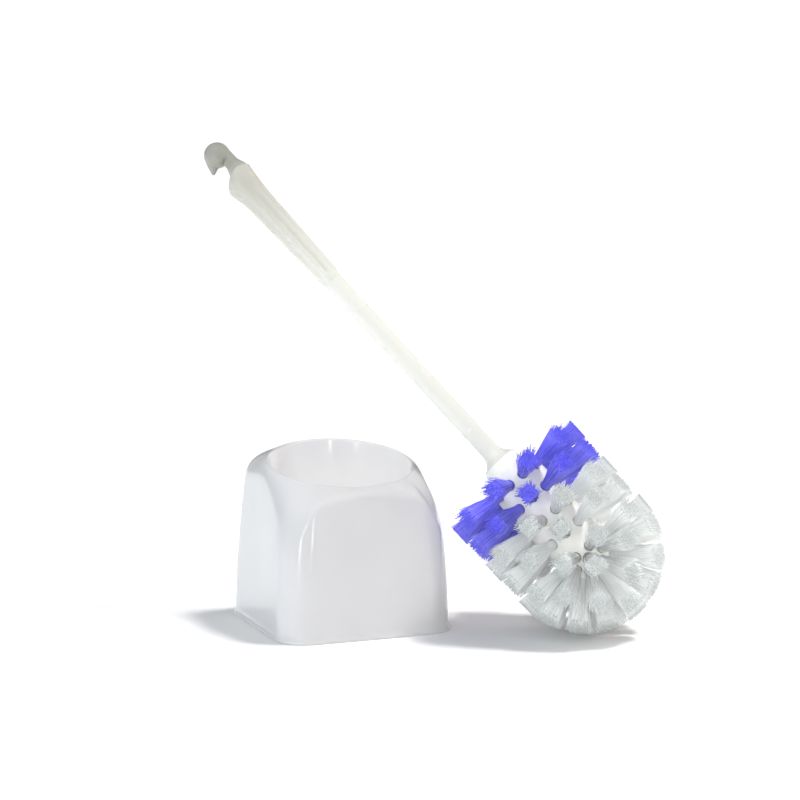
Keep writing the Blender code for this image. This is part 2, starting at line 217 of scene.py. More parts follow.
def skin(name, rings, material, sharp=SHARP_ANGLE):
    """Closed surface through rings of points with the same count; a ring of one point is a pole."""
    verts = []
    faces = []
    starts = []
    for ring in rings:
        starts.append(len(verts))
        verts.extend(tuple(point) for point in ring)
    for lower, upper in zip(range(len(rings) - 1), range(1, len(rings))):
        count = max(len(rings[lower]), len(rings[upper]))
        for i in range(count):
            j = (i + 1) % count
            a, b = starts[lower] + i, starts[lower] + j
            c, d = starts[upper] + j, starts[upper] + i
            if len(rings[lower]) == 1:
                faces.append((starts[lower], c, d))
            elif len(rings[upper]) == 1:
                faces.append((a, b, starts[upper]))
            else:
                faces.append((a, b, c, d))
    return mesh_object(name, verts, faces, material, sharp)


def turned(name, profile, material, segments=96):
    """Solid of revolution about Z; the profile's first and last points are on the axis."""
    rings = []
    for radius, height in profile:
        if radius == 0:
            rings.append([(0, 0, height)])
            continue
        angles = [2 * math.pi * i / segments for i in range(segments)]
        rings.append([(radius * math.cos(a), radius * math.sin(a), height) for a in angles])
    return skin(name, rings, material)


def arc(centre, radius, start, end, steps):
    """Points on an arc in the profile plane, angles in degrees, both ends included."""
    points = []
    for i in range(steps + 1):
        angle = math.radians(start + (end - start) * i / steps)
        points.append((centre[0] + radius * math.cos(angle), centre[1] + radius * math.sin(angle)))
    return points


def line(start, end, steps):
    """Points between two ends, the first one included and the last one not."""
    points = []
    for i in range(steps):
        t = i / steps
        points.append((start[0] + (end[0] - start[0]) * t, start[1] + (end[1] - start[1]) * t))
    return points


def smooth_step(t):
    """Eases from 0 to 1."""
    t = min(max(t, 0.0), 1.0)
    return t * t * (3 - 2 * t)


def applied(obj):
    """Bakes an object's modifiers into its mesh."""
    depsgraph = bpy.context.evaluated_depsgraph_get()
    mesh = bpy.data.meshes.new_from_object(obj.evaluated_get(depsgraph))
    obj.modifiers.clear()
    obj.data = mesh
    mesh.shade_smooth()
    mesh.set_sharp_from_angle(angle=math.radians(SHARP_ANGLE))


def on_brush(obj, slot, *nodes):
    """Places a piece made in the brush's frame and lets it stand for its CAD nodes."""
    obj.matrix_world = BRUSH_FRAME
    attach(obj, "brush")
    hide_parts(*nodes)
    return obj


# ---------------------------------------------------------------- materials


def new_material(name, colour, roughness):
    """A material and its shader; the colour and roughness are what its textures vary about."""
    material = bpy.data.materials.new(name)
    material.use_nodes = True
    shader = material.node_tree.nodes["Principled BSDF"]
    shader.inputs["Base Color"].default_value = (*colour, 1.0)
    shader.inputs["Roughness"].default_value = roughness
    return material, shader


def noise(material, scale, detail=4.0, stretch=(1.0, 1.0, 1.0)):
    """A noise texture in the piece's own coordinates, in features per metre."""
    nodes, links = material.node_tree.nodes, material.node_tree.links
    coordinates = nodes.new("ShaderNodeTexCoord")
    mapping = nodes.new("ShaderNodeMapping")
    mapping.inputs["Scale"].default_value = stretch
    texture = nodes.new("ShaderNodeTexNoise")
    texture.inputs["Scale"].default_value = scale
    texture.inputs["Detail"].default_value = detail
    links.new(coordinates.outputs["Object"], mapping.inputs["Vector"])
    links.new(mapping.outputs["Vector"], texture.inputs["Vector"])
    return texture.outputs["Fac"]


def remap(material, value, low, high, start=0.3, end=0.7):
    """Maps a value from start...end to low...high."""
    nodes, links = material.node_tree.nodes, material.node_tree.links
    node = nodes.new("ShaderNodeMapRange")
    node.inputs["From Min"].default_value = start
    node.inputs["From Max"].default_value = end
    node.inputs["To Min"].default_value = low
    node.inputs["To Max"].default_value = high
    links.new(value, node.inputs["Value"])
    return node.outputs["Result"]


def blend(material, factor, first, second, mode="MIX"):
    """Mixes two colours, each a tuple or a socket."""
    nodes, links = material.node_tree.nodes, material.node_tree.links
    node = nodes.new("ShaderNodeMix")
    node.data_type = "RGBA"
    node.blend_type = mode
    for socket, value in ((node.inputs[0], factor), (node.inputs[6], first), (node.inputs[7], second)):
        if isinstance(value, bpy.types.NodeSocket):
            links.new(value, socket)
        else:
            socket.default_value = value if socket.type == "VALUE" else (*value, 1.0)
    return node.outputs[2]


def relief(material, shader, layers):
    """Chains bumps, each from (height socket, depth in metres, strength), into the shader's normal."""
    nodes, links = material.node_tree.nodes, material.node_tree.links
    previous = None
    for height, depth, strength in layers:
        bump = nodes.new("ShaderNodeBump")
        bump.inputs["Strength"].default_value = strength
        bump.inputs["Distance"].default_value = depth
        links.new(height, bump.inputs["Height"])
        if previous:
            links.new(previous.outputs["Normal"], bump.inputs["Normal"])
        previous = bump
    links.new(previous.outputs["Normal"], shader.inputs["Normal"])


def holder_plastic():
    """Glossy white moulded plastic: faint cloudiness, slight waviness and a fine moulded skin."""
    material, shader = new_material("holder_plastic", (0.565, 0.56, 0.565), 0.17)
    links = material.node_tree.links
    cloud = remap(material, noise(material, 22.0), 0.0, 1.0)
    links.new(blend(material, cloud, (0.55, 0.545, 0.55), (0.58, 0.575, 0.58)), shader.inputs["Base Color"])
    links.new(remap(material, noise(material, 160.0), 0.12, 0.22), shader.inputs["Roughness"])
    wave = noise(material, 28.0, 1.0)
    skin_grain = noise(material, 1500.0, 2.0)
    relief(material, shader, [(wave, 0.0006, 0.35), (skin_grain, 0.00002, 0.25)])
    shader.inputs["Subsurface Weight"].default_value = 0.25
    shader.inputs["Subsurface Radius"].default_value = (1.0, 1.0, 1.0)
    shader.inputs["Subsurface Scale"].default_value = 0.005
    shader.inputs["Coat Weight"].default_value = 0.5
    shader.inputs["Coat Roughness"].default_value = 0.05
    return material


def height_along_brush(material):
    """Object coordinate that runs up the brush, in metres."""
    nodes, links = material.node_tree.nodes, material.node_tree.links
    coordinates = nodes.new("ShaderNodeTexCoord")
    split = nodes.new("ShaderNodeSeparateXYZ")
    links.new(coordinates.outputs["Object"], split.inputs["Vector"])
    return split.outputs["Z"]


def handle_plastic(name, low, high, heights):
    """Soft-gloss plastic with painted shade that darkens it between two heights, and faint flow lines along
    the handle.
    """
    material, shader = new_material(name, low, 0.26)
    links = material.node_tree.links
    # Painted shade: the colour darkens from the low tone to the high tone between the two heights.
    shade_share = remap(material, height_along_brush(material), 0.0, 1.0, *heights)
    tone = blend(material, shade_share, low, high)
    flow = remap(material, noise(material, 330.0, 3.0, (1.0, 1.0, 0.03)), 0.0, 0.5)
    tone = blend(material, flow, tone, (0.96, 0.955, 0.94), "MULTIPLY")
    cloud = remap(material, noise(material, 25.0, 1.0), 0.0, 0.4)
    links.new(blend(material, cloud, tone, (0.965, 0.965, 0.95), "MULTIPLY"), shader.inputs["Base Color"])
    links.new(remap(material, noise(material, 60.0, 1.0), 0.25, 0.28), shader.inputs["Roughness"])
    relief(material, shader, [(noise(material, 300.0, 2.0, (1.0, 1.0, 0.04)), 0.00006, 0.3),
                              (noise(material, 1800.0, 2.0), 0.00001, 0.2)])
    shader.inputs["Subsurface Weight"].default_value = 0.15
    shader.inputs["Subsurface Radius"].default_value = (1.0, 0.95, 0.8)
    shader.inputs["Subsurface Scale"].default_value = 0.001
    return material


def core_plastic():
    """Bright white satin plastic."""
    material, shader = new_material("core_plastic", (0.85, 0.845, 0.80), 0.35)
    links = material.node_tree.links
    cloud = remap(material, noise(material, 120.0), 0.0, 1.0)
    links.new(blend(material, cloud, (0.83, 0.825, 0.78), (0.87, 0.865, 0.82)), shader.inputs["Base Color"])
    links.new(remap(material, noise(material, 300.0), 0.28, 0.45), shader.inputs["Roughness"])
    relief(material, shader, [(noise(material, 1400.0, 3.0), 0.00004, 0.4)])
    return material


def bristle(name, root, tip, dark, cut, roughness):
    """Plastic filament: each strand has its own tone, which changes towards its tip, with painted shade at
    its cut end.
    """
    material, shader = new_material(name, tip, roughness)
    nodes, links = material.node_tree.nodes, material.node_tree.links
    along = nodes.new("ShaderNodeAttribute")
    along.attribute_name = "along"
    strand = nodes.new("ShaderNodeAttribute")
    strand.attribute_name = "strand"
    ended = remap(material, along.outputs["Fac"], 0.0, 1.0, 0.62, 1.0)
    tone = blend(material, ended, root, tip)
    shade = remap(material, strand.outputs["Fac"], 0.0, 0.7, 0.6, 1.0)
    tone = blend(material, shade, tone, dark)
    mottled = remap(material, noise(material, 320.0, 2.0), 0.0, 0.3)
    tone = blend(material, mottled, tone, dark)
    # Painted shade: the last few per cent of each strand, its cut end included, darken to the cut colour.
    painted_end_shade = remap(material, along.outputs["Fac"], 0.0, 1.0, 0.94, 0.99)
    links.new(blend(material, painted_end_shade, tone, cut), shader.inputs["Base Color"])
    links.new(remap(material, strand.outputs["Fac"], roughness - 0.08, roughness + 0.1, 0.0, 1.0),
              shader.inputs["Roughness"])
    return material


def blue_bristle():
    return bristle(
        "blue_bristle",
        root=(0.30, 0.29, 1.0),
        tip=(0.36, 0.35, 1.0),
        dark=(0.14, 0.13, 0.80),
        # cut is painted shade at the strands' ends.
        cut=(0.19, 0.18, 0.86),
        roughness=0.35,
    )


def clear_bristle():
    return bristle(
        "clear_bristle",
        root=(0.97, 0.985, 0.975),
        tip=(0.94, 0.95, 0.945),
        dark=(0.91, 0.935, 0.93),
        # cut is painted shade at the strands' ends.
        cut=(0.63, 0.66, 0.65),
        roughness=0.25,
    )


def floor_material():
    """Plain white, with the faintest cloudiness."""
    material, shader = new_material("pale_floor", (0.95, 0.95, 0.95), 0.55)
    cloud = remap(material, noise(material, 3.0), 0.0, 1.0)
    tone = blend(material, cloud, (0.945, 0.945, 0.945), (0.955, 0.955, 0.955))
    material.node_tree.links.new(tone, shader.inputs["Base Color"])
    shader.inputs["Specular IOR Level"].default_value = 0.1
    return material


# ---------------------------------------------------------------- holder


def square_reach(angle, half, corner):
    """Distance from the axis to a rounded square, in one direction."""
    across, along = sorted((abs(math.cos(angle)), abs(math.sin(angle))))
    flat = half / along
    inner = half - corner
    if flat * across <= inner:
        return flat
    towards = inner * (across + along)
    return towards + math.sqrt(towards ** 2 - 2 * inner ** 2 + corner ** 2)


def side_point(angle, height, inset=0.0):
    """(radius, height) on the skirt, which leans in more and more towards the rim."""
    half = HALF_SIDE - SIDE_TAPER * (height / RIM_HEIGHT) ** TAPER_POWER
    return (square_reach(angle, half - inset, CORNER_RADIUS - inset), height)


def rim_height(angle, radius):
    """Height of the tilted rim plane, lowest in front."""
    return RIM_HEIGHT + radius * math.sin(angle) * math.tan(RIM_TILT)


def shoulder_point(angle, radius):
    """(radius, height) on the shoulder that slopes down from the rim."""
    drop = (radius - MOUTH_RADIUS - LIP_RADIUS) * math.tan(SHOULDER_SLOPE)
    return (radius, rim_height(angle, radius) - drop)


def edge_blend(angle):
    """Size of the rounding between shoulder and side: crisp along the front, broad past its corners."""
    from_front = math.degrees(abs(math.remainder(angle + math.pi / 2, 2 * math.pi)))
    for (start, first), (end, second) in zip(EDGE_BLENDS, EDGE_BLENDS[1:]):
        if from_front <= end:
            return first + (second - first) * smooth_step((from_front - start) / (end - start))


def shoulder_edge(angle):
    """Where the shoulder would meet the side in a sharp edge, found by bisection on the height."""
    low, high = 0.0, RIM_HEIGHT * 1.1
    for _ in range(40):
        middle = (low + high) / 2
        radius, _ = side_point(angle, middle)
        if middle < shoulder_point(angle, radius)[1]:
            low = middle
        else:
            high = middle
    return side_point(angle, low)


def blend_curve(angle, steps, inset=0.0):
    """Rounds that edge with a smooth curve from the side up to the shoulder, moved in by the inset."""
    edge_radius, edge_height = shoulder_edge(angle)
    size = edge_blend(angle)
    start = Vector(side_point(angle, edge_height - size))
    corner = Vector((edge_radius, edge_height))
    end_radius = max(edge_radius - size, MOUTH_RADIUS + 2 * LIP_RADIUS)
    end = Vector(shoulder_point(angle, end_radius))
    points = []
    for i in range(steps + 1):
        t = i / steps
        before = start.lerp(corner, t)
        after = corner.lerp(end, t)
        heading = (after - before).normalized()
        point = before.lerp(after, t) + inset * Vector((-heading.y, heading.x))
        points.append((point.x, point.y))
    return points


def foot_points(angle):
    """The foot's small flange, sweeping up into the side."""
    foot = side_point(angle, 0.0)[0] + FOOT_LIP
    points = [(foot - FOOT_BEVEL, 0.0), (foot, FOOT_BEVEL), (foot, FOOT_LIP_EDGE)]
    steps = 8
    for i in range(1, steps + 1):
        t = i / steps
        height = FOOT_LIP_EDGE + (FOOT_LIP_HEIGHT - FOOT_LIP_EDGE) * t
        points.append((side_point(angle, height)[0] + FOOT_LIP * (1 - t) ** 2, height))
    return points


def holder_profile(angle):
    """From the axis under the cup to the throat, down to the foot, over the shoulder and into the cup."""
    floor_outside = CUP_FLOOR_RADIUS + WALL
    cup_outside = MOUTH_RADIUS + WALL
    throat = rim_height(angle, cup_outside) - THROAT_DEPTH
    under_shoulder = blend_curve(angle, 2, WALL)
    roof = (max(under_shoulder[1][0], cup_outside + THROAT_CLEARANCE), min(under_shoulder[1][1], throat))
    points = [(0.0, 0.0), (floor_outside - CUP_FOOT_BEVEL, 0.0), (floor_outside, CUP_FOOT_BEVEL)]
    points.append((cup_outside, throat))
    points += [roof, under_shoulder[0]]
    points += [side_point(angle, RIM_HEIGHT * share, WALL) for share in (0.5, 0.3, 0.15, 0.0)]
    points += foot_points(angle)
    blend_start = blend_curve(angle, 1)[0][1]
    steps = 14
    for i in range(1, steps):
        points.append(side_point(angle, FOOT_LIP_HEIGHT + (blend_start - FOOT_LIP_HEIGHT) * i / steps))
    points += blend_curve(angle, 22)
    lip_radius = MOUTH_RADIUS + LIP_RADIUS
    lip_centre = (lip_radius, rim_height(angle, lip_radius) - LIP_RADIUS)
    points += arc(lip_centre, LIP_RADIUS, *LIP_ARC, 10)
    floor_arc_centre = (CUP_FLOOR_RADIUS - CUP_FLOOR_BLEND, CUP_FLOOR + CUP_FLOOR_BLEND)
    wall_top = (MOUTH_RADIUS, lip_centre[1])
    wall_foot = (CUP_FLOOR_RADIUS, floor_arc_centre[1])
    points += line(wall_top, wall_foot, 10)[1:]
    points += arc(floor_arc_centre, CUP_FLOOR_BLEND, 0, -90, 10)
    points += [(CUP_FLOOR_RADIUS * share, CUP_FLOOR) for share in (0.6, 0.3)]
    points.append((0.0, CUP_FLOOR))
    return points


def make_holder(material):
    """The whole holder as one skin, with the same count of points on each profile round it."""
    profiles = []
    for i in range(HOLDER_SEGMENTS):
        angle = 2 * math.pi * i / HOLDER_SEGMENTS
        profiles.append((math.cos(angle), math.sin(angle), holder_profile(angle)))
    rings = [[(0, 0, 0)]]
    for k in range(1, len(profiles[0][2]) - 1):
        rings.append([(c * points[k][0], s * points[k][0], points[k][1]) for c, s, points in profiles])
    rings.append([(0, 0, CUP_FLOOR)])
    holder = skin("holder", rings, material, sharp=50)
    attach(holder, "holder")
    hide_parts("holder_shell")


# ---------------------------------------------------------------- handle


def make_shaft(material):
    """Shaft with a spigot at each end and the trumpet-shaped collar, which ends in a thin rolled rim."""
    foot = CORE_TOP + SEAM
    head = GRIP_BOTTOM - SEAM
    rim = COLLAR_RIM
    profile = [(0, foot - SPIGOT_DEPTH), (SPIGOT_RADIUS, foot - SPIGOT_DEPTH), (SPIGOT_RADIUS, foot)]
    profile.append((COLLAR_RADIUS - rim, foot))
    profile += arc((COLLAR_RADIUS - rim, foot + rim), rim, -60, 60, 6)
    steps = 30
    for i in range(1, steps + 1):
        t = i / steps
        radius = SHAFT_RADIUS + (COLLAR_RADIUS - rim - SHAFT_RADIUS) * (1 - t) ** COLLAR_POWER
        profile.append((radius, foot + 2 * rim + COLLAR_HEIGHT * t))
    top = foot + 2 * rim + COLLAR_HEIGHT
    profile += line((SHAFT_RADIUS, top), (SHAFT_RADIUS, head), 24)[1:]
    profile += [(SHAFT_RADIUS, head), (SPIGOT_RADIUS, head), (SPIGOT_RADIUS, head + SPIGOT_DEPTH)]
    profile.append((0, head + SPIGOT_DEPTH))
    on_brush(turned("shaft", profile, material), "handle_plastic", "handle_shaft")


def grip_radius(along):
    """Grip's half-width from its foot, 0, to its top, 1: chamfered foot, slow swelling, flared top."""
    body = GRIP_RADIUS + GRIP_SWELL * along
    chamfer = (SHAFT_RADIUS - body) * max(0.0, 1 - along / GRIP_CHAMFER)
    flare = GRIP_FLARE * max(0.0, (along - FLARE_START) / (1 - FLARE_START)) ** 2
    return body + chamfer + flare


def flute(along, angle):
    """How far the flutes cut in: round grooves that start above the foot and fade below the flared top."""
    wave = (0.5 - 0.5 * math.cos(FLUTES * angle)) ** 1.5
    run_in = smooth_step((along - FLUTE_START) / FLUTE_RUN_IN)
    run_out = smooth_step((FLUTE_END - along) / FLUTE_RUN_OUT)
    return FLUTE_DEPTH * wave * run_in * run_out


def make_grip(material):
    """Fluted grip whose slanted, rounded top closes in on the hook's seat, with a socket at each end."""
    segments = 112
    bore = SPIGOT_RADIUS + GAP
    rim = GRIP_TOP - GRIP_SHOULDER
    angles = [2 * math.pi * i / segments for i in range(segments)]

    def ring(radius_at, height, offset=0.0, slant=0.0, rise=0.0):
        """A ring round the handle; rise lifts it in front and behind, where it fronts the hook's neck."""
        points = []
        for a in angles:
            x, y = radius_at(a) * math.cos(a), radius_at(a) * math.sin(a)
            points.append((x + offset, y, height + slant * x + rise * math.sin(a) ** 2))
        return points

    rings = [[(0, 0, GRIP_BOTTOM + SPIGOT_DEPTH + GAP)]]
    rings.append(ring(lambda a: bore, GRIP_BOTTOM + SPIGOT_DEPTH + GAP))
    rings.append(ring(lambda a: bore, GRIP_BOTTOM))
    steps = 64
    for i in range(steps + 1):
        along = (i / steps) ** 0.9
        height = GRIP_BOTTOM + along * (rim - GRIP_BOTTOM)
        slant = GRIP_SLANT * along ** 8
        rings.append(ring(lambda a: grip_radius(along) - flute(along, a), height, slant=slant))
    top = grip_radius(1.0)
    seat = NECK_FOOT_RADIUS + GAP
    steps = 12
    for i in range(1, steps + 1):
        t = i / steps
        radius = seat + (top - seat) * math.cos(t * math.pi / 2) ** 0.8
        height = rim + (GRIP_TOP - rim) * math.sin(t * math.pi / 2)
        rise = NECK_SADDLE * smooth_step(t)
        rings.append(ring(lambda a: radius, height, NECK_OFFSET * t ** 1.5, GRIP_SLANT * (1 - t), rise))
    rings.append(ring(lambda a: seat, GRIP_TOP - GAP, NECK_OFFSET))
    rings.append(ring(lambda a: bore, GRIP_TOP - GAP, NECK_OFFSET))
    rings.append(ring(lambda a: bore, GRIP_TOP - SPIGOT_DEPTH - GAP, NECK_OFFSET))
    rings.append([(NECK_OFFSET, 0, GRIP_TOP - SPIGOT_DEPTH - GAP)])
    on_brush(skin("grip", rings, material), "handle_plastic", "handle_grip")


def ball(centre, radius, material):
    """A sphere round a point of the brush."""
    steps = 24
    profile = [(0, -radius)]
    for i in range(1, steps):
        a = math.pi - math.pi * i / steps
        profile.append((radius * math.sin(a), radius * math.cos(a)))
    profile.append((0, radius))
    part = turned("ball", profile, material, 48)
    part.location = centre
    return part


def make_hook(material):
    """Bird's-head hook: neck, knob and beak fused by a fine remesh, which rounds where they meet."""
    foot = GRIP_TOP + GAP
    neck_top = HOOK_TOP - KNOB_RADIUS
    profile = [(0, foot - SPIGOT_DEPTH), (SPIGOT_RADIUS, foot - SPIGOT_DEPTH), (SPIGOT_RADIUS, foot)]
    profile += [(NECK_FOOT_RADIUS, foot), (NECK_FOOT_RADIUS, foot + NECK_RIM)]
    steps = 10
    for i in range(1, steps + 1):
        t = smooth_step(i / steps)
        radius = NECK_FOOT_RADIUS + (WAIST_RADIUS - NECK_FOOT_RADIUS) * t
        profile.append((radius, foot + NECK_RIM + (WAIST_HEIGHT - NECK_RIM) * i / steps))
    profile += [(WAIST_RADIUS, neck_top), (0, neck_top)]
    neck = turned("hook", profile, material, 64)
    neck.location = (NECK_OFFSET, 0, 0)
    parts = [neck, ball((0, 0, HOOK_TOP - KNOB_RADIUS), KNOB_RADIUS, material)]
    steps = 12
    for i in range(steps + 1):
        t = i / steps
        radius = BEAK_ROOT_RADIUS * (1 - t) + BEAK_TIP_RADIUS * t
        parts.append(ball(BEAK_ROOT.lerp(BEAK_TIP, t), radius, material))
    with bpy.context.temp_override(active_object=neck, object=neck, selected_editable_objects=parts):
        bpy.ops.object.join()
    remesh = neck.modifiers.new("remesh", "REMESH")
    remesh.mode = "VOXEL"
    remesh.voxel_size = HOOK_VOXEL
    relax = neck.modifiers.new("relax", "SMOOTH")
    relax.iterations = 8
    relax.factor = 0.5
    applied(neck)
    neck.data.transform(Matrix.Translation((NECK_OFFSET, 0, 0)))
    on_brush(neck, "handle_plastic", "hanging_hook")


# ---------------------------------------------------------------- head


def ring_places():
    """(root height, azimuth, polar angle from straight down) of each tuft on the core's straight part."""
    places = []
    rings = BLUE_RINGS + CLEAR_RINGS
    for ring in range(rings):
        tilt = LAST_RING_TILT if ring == rings - 1 else 0.0
        for k in range(TUFTS_PER_RING):
            half_step = 0.5 if ring % 2 == 0 else 0.0
            azimuth = 2 * math.pi * (k + half_step) / TUFTS_PER_RING - math.pi / 2
            places.append((RING_PITCH * (rings - 1 - ring), azimuth, math.pi / 2 - tilt))
    return places


def end_places():
    """The same for each tuft on the domed end."""
    places = []
    for count, polar, half_step in END_RINGS:
        for k in range(count):
            azimuth = 2 * math.pi * (k + half_step) / count - math.pi / 2
            places.append((0.0, azimuth, math.radians(polar)))
    return places


def tuft_frame(place):
    """Frame at a tuft's start on the brush's axis: Z out along the tuft, X towards the handle."""
    height, azimuth, polar = place
    flat = math.sin(polar)
    out = Vector((flat * math.cos(azimuth), flat * math.sin(azimuth), -math.cos(polar)))
    side = Vector((-math.sin(azimuth), math.cos(azimuth), 0))
    up = side.cross(out)
    turn = Matrix((up, side, out)).transposed().to_4x4()
    return Matrix.Translation((0, 0, height)) @ turn


def make_core(material):
    """Moulded core with a domed end, a conical shoulder and a countersunk socket for each tuft."""
    bore = SPIGOT_RADIUS + GAP
    profile = [(0, CORE_TOP - SPIGOT_DEPTH - GAP), (bore, CORE_TOP - SPIGOT_DEPTH - GAP), (bore, CORE_TOP)]
    bevel = 0.0001
    shoulder_start = (COLLAR_RADIUS, CORE_TOP - bevel)
    profile += [(COLLAR_RADIUS - bevel, CORE_TOP), shoulder_start]
    shoulder_end = (CORE_RADIUS - 0.0016, CORE_SHOULDER + 0.0008)
    profile += line(shoulder_start, shoulder_end, 6)[1:]
    edge_height = CORE_SHOULDER - CORE_EDGE_DROP
    profile += arc((CORE_RADIUS - CORE_EDGE_RADIUS, edge_height), CORE_EDGE_RADIUS, 65, 0, 8)
    profile += line((CORE_RADIUS, edge_height), (CORE_RADIUS, 0), 20)[1:]
    profile += arc((0, 0), CORE_RADIUS, 0, -87, 24)
    profile.append((0, -CORE_RADIUS))
    core = turned("core", profile, material)
    cutter = socket_cutter(material)
    sockets = core.modifiers.new("sockets", "BOOLEAN")
    sockets.operation = "DIFFERENCE"
    sockets.object = cutter
    sockets.use_self = True
    applied(core)
    bpy.data.objects.remove(cutter)
    on_brush(core, "core_plastic", "brush_core")


def socket_cutter(material):
    """One countersunk plug for each tuft's socket."""
    verts = []
    faces = []
    sides = 20
    for place in ring_places() + end_places():
        to_brush = tuft_frame(place)
        start = len(verts)
        rings = ((CORE_RADIUS - SOCKET_DEPTH, SOCKET_RADIUS), (CORE_RADIUS - COUNTERSINK, SOCKET_RADIUS),
                 (CORE_RADIUS + COUNTERSINK, SOCKET_RADIUS + COUNTERSINK))
        for distance, radius in rings:
            for i in range(sides):
                a = 2 * math.pi * i / sides
                verts.append(to_brush @ Vector((radius * math.cos(a), radius * math.sin(a), distance)))
        for i in range(sides):
            j = (i + 1) % sides
            for low in (start, start + sides):
                faces.append((low + i, low + j, low + sides + j, low + sides + i))
        faces.append([start + i for i in reversed(range(sides))])
        faces.append([start + 2 * sides + i for i in range(sides)])
    return mesh_object("socket_cutter", verts, faces, material)


def tuft_spread(turn, out, t, fan):
    """Sideways place in a tuft: from a round root, t = 0, it opens into a rounded square, t = 1."""
    half_width, shift = fan
    round_place = np.stack([out * np.cos(turn), out * np.sin(turn)], -1)
    square_place = round_place / np.maximum(np.abs(np.cos(turn)), np.abs(np.sin(turn)))[..., None]
    tip = ((1 - TIP_SQUARENESS) * round_place + TIP_SQUARENESS * square_place) * half_width + shift
    opening = np.clip((t - OPENING_START) / (1 - OPENING_START), 0, 1)[..., None]
    return round_place * ROOT_RADIUS + (tip - round_place * ROOT_RADIUS) * opening


def trimmed_length(sideways, tip_radius, round_end):
    """Distance from the axis to the trimmed end: the head is a cylinder, or a ball at its domed end."""
    flat = sideways[..., 1] ** 2 + round_end * sideways[..., 0] ** 2
    return np.sqrt(tip_radius ** 2 - flat)


def packed_bundle(rng, tip_radius, fan, round_end):
    """The closely packed inner strands as one ridged, closed form that stops short of the tips.

    Its end counts as cut, so that it has the painted shade of the strands' ends.
    """
    count = 2 * PACKED_RIDGES
    turn = np.repeat(2 * math.pi * np.arange(count)[None, :] / count, PACKED_STEPS, 0)
    out = PACKED_SHARE - RIDGE_DEPTH * (np.arange(count) % 2) + rng.normal(0, RIDGE_JITTER, count)
    out = np.repeat(out[None, :], PACKED_STEPS, 0)
    t = np.repeat(np.linspace(0, PACKED_END, PACKED_STEPS)[:, None], count, 1)
    sideways = tuft_spread(turn, out, t, fan)
    end_place = tuft_spread(turn, out, np.ones_like(t), fan)
    height = TUFT_START + (trimmed_length(end_place, tip_radius, round_end) - TUFT_START) * t
    points = np.concatenate([sideways, height[..., None]], -1).reshape(-1, 3)
    faces = []
    for step in range(PACKED_STEPS - 1):
        for k in range(count):
            a, b = step * count + k, step * count + (k + 1) % count
            faces.append((a, b, b + count, a + count))
    faces.append(tuple(reversed(range(count))))
    faces.append(tuple((PACKED_STEPS - 1) * count + k for k in range(count)))
    along = t.copy()
    along[-1] = 1.0
    strand = np.tile(np.repeat(rng.uniform(0, 1, PACKED_RIDGES), 2), PACKED_STEPS)
    return points, faces, along.reshape(-1), strand


def loose_strands(rng, tip_radius, fan, round_end, wild):
    """Closed three-sided strands: outer ones run from the root, inner ones show only near the tips."""
    order = np.arange(STRANDS)
    turn = order * GOLDEN_ANGLE + rng.uniform(0, 2 * math.pi)
    out = np.sqrt((order + 0.5) / STRANDS)
    first = np.where(out < PACKED_SHARE - PACKED_OVERLAP, PACKED_END - PACKED_OVERLAP, 0.0)
    t = first[:, None] + (1 - first[:, None]) * np.linspace(0, 1, STRAND_STEPS)[None, :]
    turn = np.broadcast_to(turn[:, None], t.shape)
    out = np.broadcast_to(out[:, None], t.shape)
    sideways = tuft_spread(turn, out, t, fan)
    end_place = tuft_spread(turn, out, np.ones_like(t), fan)
    phase = rng.uniform(0, 2 * math.pi, (STRANDS, 1, 2))
    waves = rng.uniform(*CRINKLE_WAVES, (STRANDS, 1, 2))
    loose = np.clip((t - CRINKLE_START) / CRINKLE_RUN_IN, 0, 1)[..., None]
    sideways = sideways + loose * CRINKLE * np.sin(2 * math.pi * waves * t[..., None] + phase)
    sideways = sideways + (t ** 2)[..., None] * rng.normal(0, wild, (STRANDS, 1, 2))
    cut = np.abs(rng.normal(0, RAGGED, STRANDS)) + (rng.uniform(0, 1, STRANDS) < SHORT_SHARE) * SHORT_BY
    length = trimmed_length(end_place, tip_radius, round_end) - cut[:, None]
    height = TUFT_START + (length - TUFT_START) * t
    paths = np.concatenate([sideways, height[..., None]], -1)
    corner = 2 * math.pi * np.arange(STRAND_SIDES) / STRAND_SIDES
    section = STRAND_RADIUS * np.stack([np.cos(corner), np.sin(corner), np.zeros(STRAND_SIDES)], 1)
    points = (paths[:, :, None, :] + section[None, None, :, :]).reshape(-1, 3)
    per_strand = STRAND_STEPS * STRAND_SIDES
    faces = []
    for strand in range(STRANDS):
        base = strand * per_strand
        for step in range(STRAND_STEPS - 1):
            for side in range(STRAND_SIDES):
                a = base + step * STRAND_SIDES + side
                b = base + step * STRAND_SIDES + (side + 1) % STRAND_SIDES
                faces.append((a, b, b + STRAND_SIDES, a + STRAND_SIDES))
        faces.append(tuple(base + side for side in reversed(range(STRAND_SIDES))))
        faces.append(tuple(base + per_strand - STRAND_SIDES + side for side in range(STRAND_SIDES)))
    along = np.repeat(t.reshape(-1), STRAND_SIDES)
    return points, faces, along, np.repeat(rng.uniform(0, 1, STRANDS), per_strand)


def make_bristles(name, place, tip_radius, half_width, round_end, material, seed, wild):
    """A tuft: packed inner strands and loose strands round them and beyond them, each a closed form."""
    rng = np.random.default_rng(seed)
    fan = (half_width * rng.uniform(*FAN_SPREAD, 2), rng.normal(0, FAN_SHIFT, 2))
    packed = packed_bundle(rng, tip_radius, fan, round_end)
    loose = loose_strands(rng, tip_radius, fan, round_end, wild)
    offset = len(packed[0])
    verts = np.concatenate([packed[0], loose[0]])
    faces = packed[1] + [tuple(index + offset for index in face) for face in loose[1]]
    turn = np.array(tuft_frame(place))
    verts = verts @ turn[:3, :3].T + turn[:3, 3]
    obj = mesh_object(name, verts.tolist(), faces, material, sharp=60)
    for label, part in (("along", 2), ("strand", 3)):
        values = np.concatenate([packed[part], loose[part]]).astype(np.float32)
        obj.data.attributes.new(label, "FLOAT", "POINT").data.foreach_set("value", values)
    return obj


